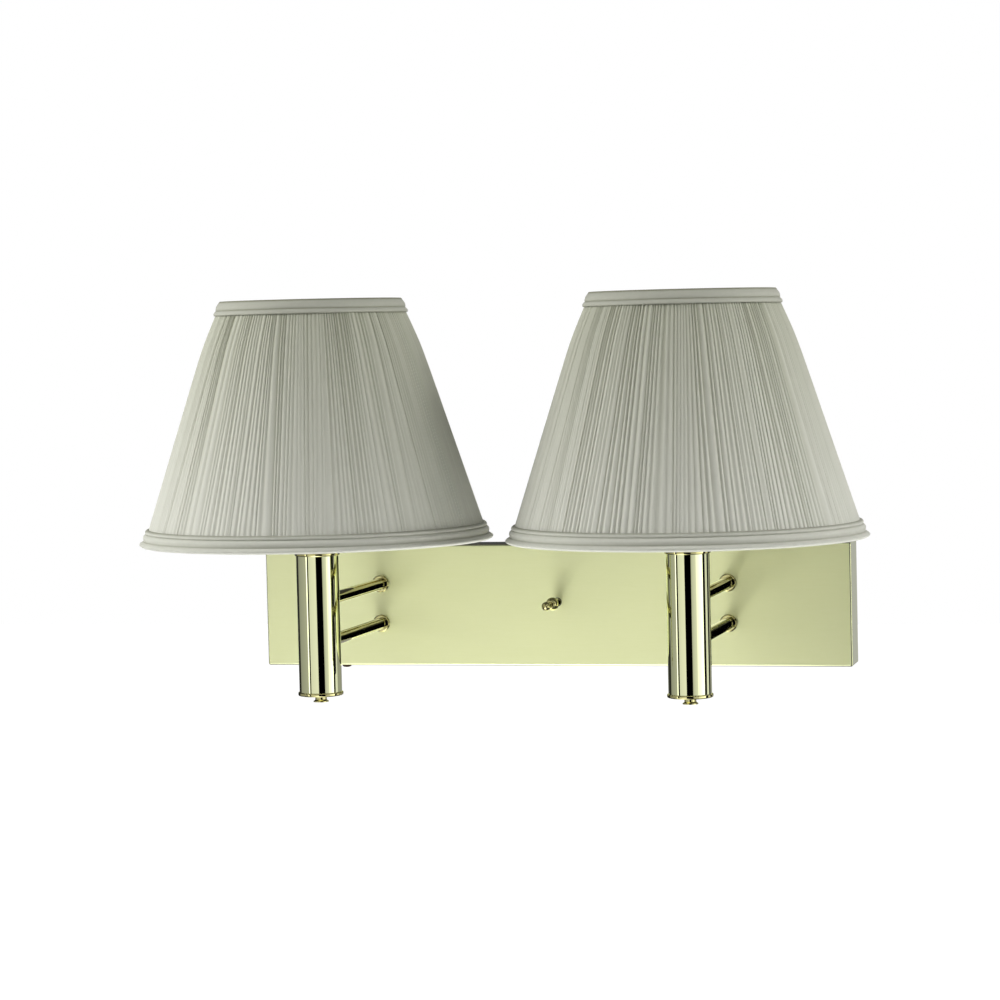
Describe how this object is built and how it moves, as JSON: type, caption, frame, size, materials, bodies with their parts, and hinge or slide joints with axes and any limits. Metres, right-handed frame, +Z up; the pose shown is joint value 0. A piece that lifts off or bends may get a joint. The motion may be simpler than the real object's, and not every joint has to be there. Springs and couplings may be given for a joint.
{
  "type": "double wall lamp",
  "caption": "Wall lamp with a long shallow brass pan, paired straight arms, upright tube columns and pleated empire shades that turn on harps.",
  "frame": {"origin": "middle of the wall plate, on the wall", "axes": "+X to the right along the wall, +Y into the wall, +Z up; the lamps stand out along -Y"},
  "size_m": [0.5412, 0.3274, 0.2994],
  "materials": {
    "polished_brass": "mirror polished, lacquered",
    "satin_brass": "satin brushed, lacquered",
    "block_brass": "machined",
    "plated_wire": "bright plated",
    "socket_brass": "bright rolled",
    "zinc_steel": "zinc plated",
    "dark_screw": "dark bronze",
    "green_screw": "green dyed",
    "phenolic": "moulded",
    "bulb_glass": "frosted inside",
    "bulb_metal": "rolled thread",
    "shade_cloth": "gathered fine pleats",
    "shade_trim": "bias bound",
    "shade_lining": "stiff, smooth",
    "shade_wire": "white enamel",
    "lead_sheath": "clear gold sheath",
    "connector_plastic": "moulded"
  },
  "bodies": {
    "fixture": {"backplate": "satin_brass", "wall_bracket": "zinc_steel", "lock_screws": "dark_screw", "ground_screw": "green_screw", "switch_bracket": "zinc_steel", "switch_body": "phenolic", "switch_nut": "zinc_steel", "arm_collars": "polished_brass", "arm_nuts": "zinc_steel", "harp_ferrules": "plated_wire", "saddle_nuts": "zinc_steel", "supply_leads": "lead_sheath", "wire_connectors": "connector_plastic", "left_column_tube": "polished_brass", "left_column_base_cap": "polished_brass", "left_column_top_cap": "polished_brass", "left_base_finial": "polished_brass", "left_arm_block": "block_brass", "left_upper_arm": "polished_brass", "left_lower_arm": "polished_brass", "left_centre_pipe": "zinc_steel", "left_harp_saddle": "plated_wire", "left_harp": "plated_wire", "left_socket_cap": "socket_brass", "left_socket_shell": "socket_brass", "left_socket_insert": "phenolic", "left_bulb_base": "bulb_metal", "left_bulb_glass": "bulb_glass", "left_shade_finial": "plated_wire", "left_lamp_lead": "lead_sheath", "right_column_tube": "polished_brass", "right_column_base_cap": "polished_brass", "right_column_top_cap": "polished_brass", "right_base_finial": "polished_brass", "right_arm_block": "block_brass", "right_upper_arm": "polished_brass", "right_lower_arm": "polished_brass", "right_centre_pipe": "zinc_steel", "right_harp_saddle": "plated_wire", "right_harp": "plated_wire", "right_socket_cap": "socket_brass", "right_socket_shell": "socket_brass", "right_socket_insert": "phenolic", "right_bulb_base": "bulb_metal", "right_bulb_glass": "bulb_glass", "right_shade_finial": "plated_wire", "right_lamp_lead": "lead_sheath"},
    "left_shade": {"left_shade_frame": "shade_wire", "left_shade_lining": "shade_lining", "left_shade_pleats": "shade_cloth", "left_shade_top_trim": "shade_trim", "left_shade_bottom_trim": "shade_trim"},
    "right_shade": {"right_shade_frame": "shade_wire", "right_shade_lining": "shade_lining", "right_shade_pleats": "shade_cloth", "right_shade_top_trim": "shade_trim", "right_shade_bottom_trim": "shade_trim"},
    "switch_knob": {"switch_knob": "polished_brass"}
  },
  "joints": [
    {"name": "left_shade_turn", "type": "hinge", "parent": "fixture", "child": "left_shade", "pos_m": [-0.14, -0.19675, 0.2218], "axis": [0, 0, 1], "continuous": true},
    {"name": "right_shade_turn", "type": "hinge", "parent": "fixture", "child": "right_shade", "pos_m": [0.14, -0.19675, 0.2218], "axis": [0, 0, 1], "continuous": true},
    {"name": "switch_turn", "type": "hinge", "parent": "fixture", "child": "switch_knob", "pos_m": [0.004, -0.03175, 0.0025], "axis": [0, -1, 0], "continuous": true}
  ]
}
